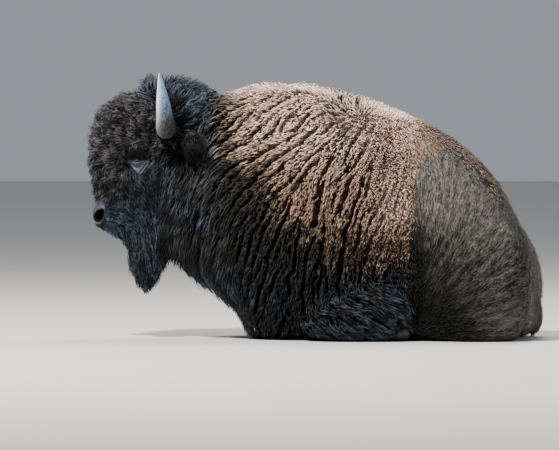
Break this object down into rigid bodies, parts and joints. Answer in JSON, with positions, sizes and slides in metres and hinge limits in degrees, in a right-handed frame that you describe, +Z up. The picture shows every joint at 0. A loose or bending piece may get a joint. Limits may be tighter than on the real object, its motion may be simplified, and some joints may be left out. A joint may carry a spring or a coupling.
{
  "type": "resting bison",
  "caption": "Life-size bull American bison at rest on its brisket, legs folded under a shaggy cape, head held low, as a still museum model.",
  "frame": {"origin": "on the floor under the middle of the animal", "axes": "+X from the head to the rump, -Y to the left flank, +Z up"},
  "size_m": [2.1536, 0.944, 1.2467],
  "materials": {
    "dark_wool": "matte dark brown wool of head, beard, mane and forelegs",
    "cape_wool": "matte, sun-bleached woolly cape",
    "short_coat": "short, flat, dusty brown coat",
    "nose": "bare damp dark skin",
    "horn": "weathered grey horn",
    "hoof": "dull dark horn",
    "eye": "wet dark brown eye"
  },
  "bodies": {
    "root": {"eye_left": "eye", "eye_right": "eye", "horn_left": "horn", "horn_right": "horn", "hoof_fore_left": "hoof", "hoof_fore_right": "hoof", "hoof_hind_left": "hoof", "hoof_hind_right": "hoof", "muzzle": "nose", "forequarters": "cape_wool", "barrel": "short_coat", "hindleg_cannon_left": "short_coat", "hindleg_cannon_right": "short_coat", "hindleg_shank_left": "short_coat", "hindleg_shank_right": "short_coat", "hindleg_thigh_left": "short_coat", "hindleg_thigh_right": "short_coat", "rump": "short_coat", "tail": "short_coat", "beard": "dark_wool", "crown": "dark_wool", "ear_left": "dark_wool", "ear_right": "dark_wool", "foreleg_arm_left": "dark_wool", "foreleg_arm_right": "dark_wool", "foreleg_cannon_left": "dark_wool", "foreleg_cannon_right": "dark_wool", "head": "dark_wool", "jaw": "dark_wool", "neck": "dark_wool", "tail_tuft": "dark_wool"}
  },
  "joints": []
}
